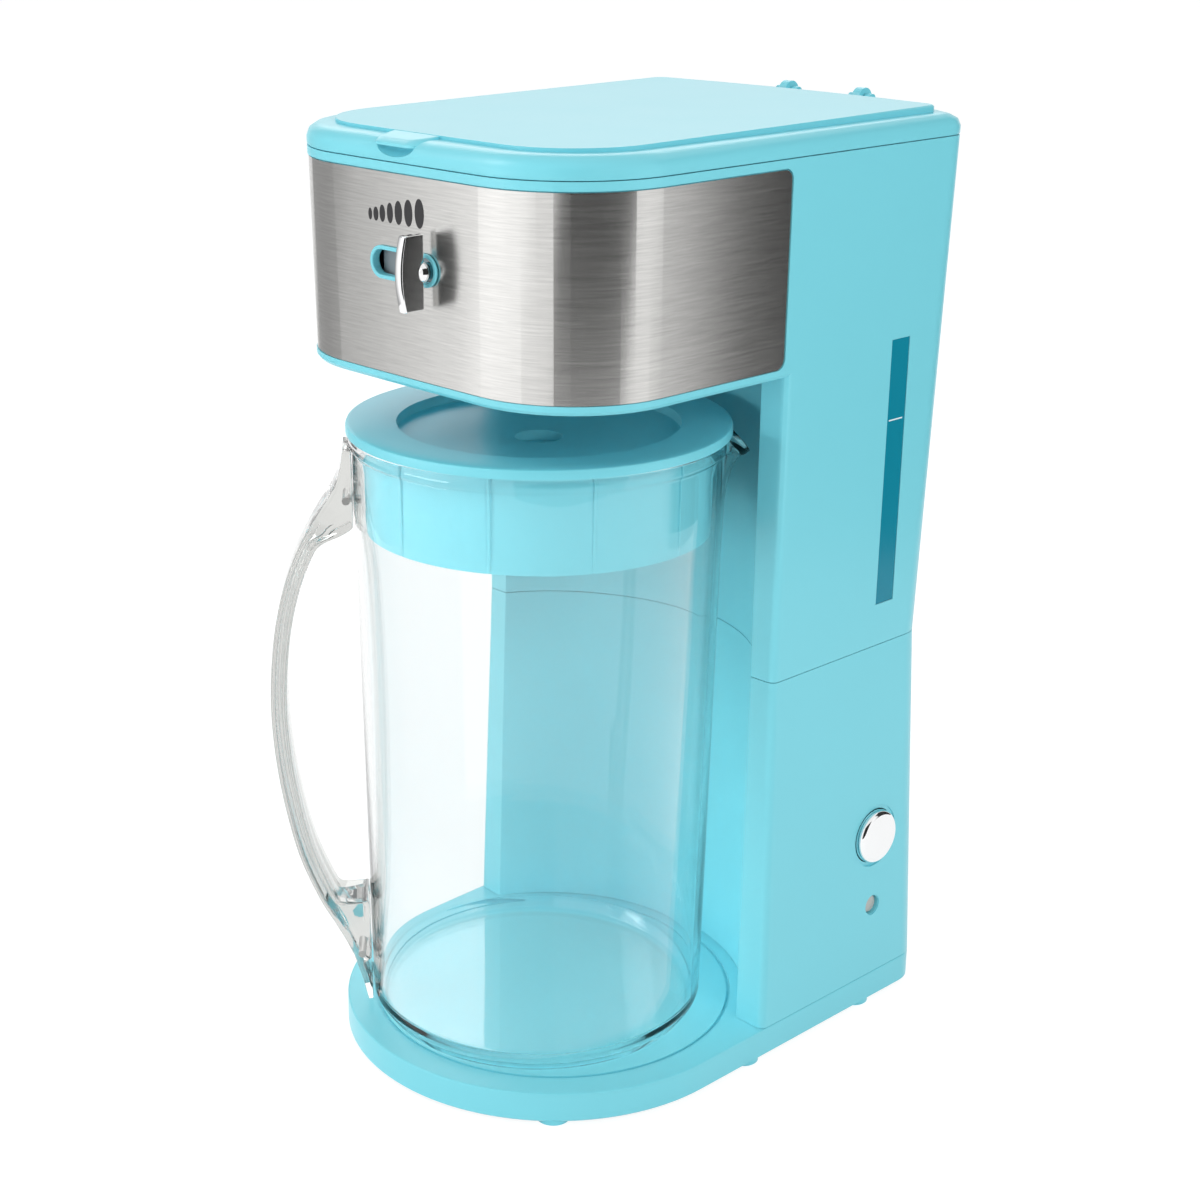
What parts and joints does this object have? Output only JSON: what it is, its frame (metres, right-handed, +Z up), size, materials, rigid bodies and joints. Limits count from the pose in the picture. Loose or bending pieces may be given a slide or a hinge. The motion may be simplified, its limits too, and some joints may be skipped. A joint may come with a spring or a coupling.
{
  "type": "iced tea maker",
  "caption": "Countertop iced tea maker with a hinged lid, water tank, brew head with a sliding strength lever, push button and a lidded pitcher that stands under the head.",
  "frame": {"origin": "centre of the bounding box at table level, under the feet", "axes": "+Z up, -Y towards the user, where the lever and the pitcher are; +X is the side with the button"},
  "size_m": [0.1664, 0.2467, 0.3612],
  "materials": {
    "blue_plastic": "satin",
    "clear_plastic": "clear, polished",
    "milky_plastic": "translucent, frosted",
    "dark_plastic": "satin",
    "chrome": "polished",
    "brushed_steel": "brushed along the band",
    "plain_steel": "plain",
    "aluminium": "cast, satin",
    "rubber": "matte"
  },
  "bodies": {
    "machine": {"base_plate": "blue_plastic", "lower_housing": "blue_plastic", "upper_housing": "blue_plastic", "slot_bezel": "blue_plastic", "head_floor": "blue_plastic", "brew_basket": "blue_plastic", "feet": "blue_plastic", "lamp_lens": "clear_plastic", "water_tank": "milky_plastic", "level_window": "milky_plastic", "spray_arm": "milky_plastic", "riser_pipe": "milky_plastic", "inlet_hose": "milky_plastic", "terminal_block": "milky_plastic", "thermal_fuse": "milky_plastic", "bottom_cover": "dark_plastic", "lever_guide": "dark_plastic", "filter_cage": "dark_plastic", "check_valve": "dark_plastic", "thermostat": "dark_plastic", "cord_gland": "dark_plastic", "switch_body": "dark_plastic", "lamp_holder": "dark_plastic", "steel_band": "brushed_steel", "filter_mesh": "plain_steel", "heater_bracket": "plain_steel", "base_screws": "plain_steel", "floor_screws": "plain_steel", "housing_screws": "plain_steel", "hinge_pins": "plain_steel", "hose_clips": "plain_steel", "heater_block": "aluminium", "heater_tube": "aluminium", "tank_seal": "rubber"},
    "lid": {"top_lid": "blue_plastic"},
    "lever": {"strength_lever": "chrome", "lever_carriage": "dark_plastic", "lever_screw": "plain_steel", "bypass_gate": "milky_plastic"},
    "button": {"brew_button": "chrome"},
    "pitcher": {"pitcher_body": "clear_plastic", "pitcher_handle": "clear_plastic", "handle_pins": "plain_steel"},
    "pitcher_cover": {"pitcher_lid": "blue_plastic", "lid_strainer": "blue_plastic"}
  },
  "joints": [
    {"name": "lid_hinge", "type": "hinge", "parent": "machine", "child": "lid", "pos_m": [-0.0007, 0.11799, 0.357], "axis": [-1, 0, 0], "range_deg": [0, 100]},
    {"name": "lever_slide", "type": "slide", "parent": "machine", "child": "lever", "axis": [-1, 0, 0], "range_m": [0, 0.0242]},
    {"name": "button_press", "type": "slide", "parent": "machine", "child": "button", "axis": [-1, 0, 0], "range_m": [0, 0.002], "stiffness_N_per_m": 600},
    {"name": "pitcher_pull", "type": "slide", "parent": "machine", "child": "pitcher", "axis": [0, -1, 0], "range_m": [0, 0.17]},
    {"name": "pitcher_lid_lift", "type": "slide", "parent": "pitcher", "child": "pitcher_cover", "axis": [0, 0, 1], "range_m": [0, 0.02]}
  ]
}
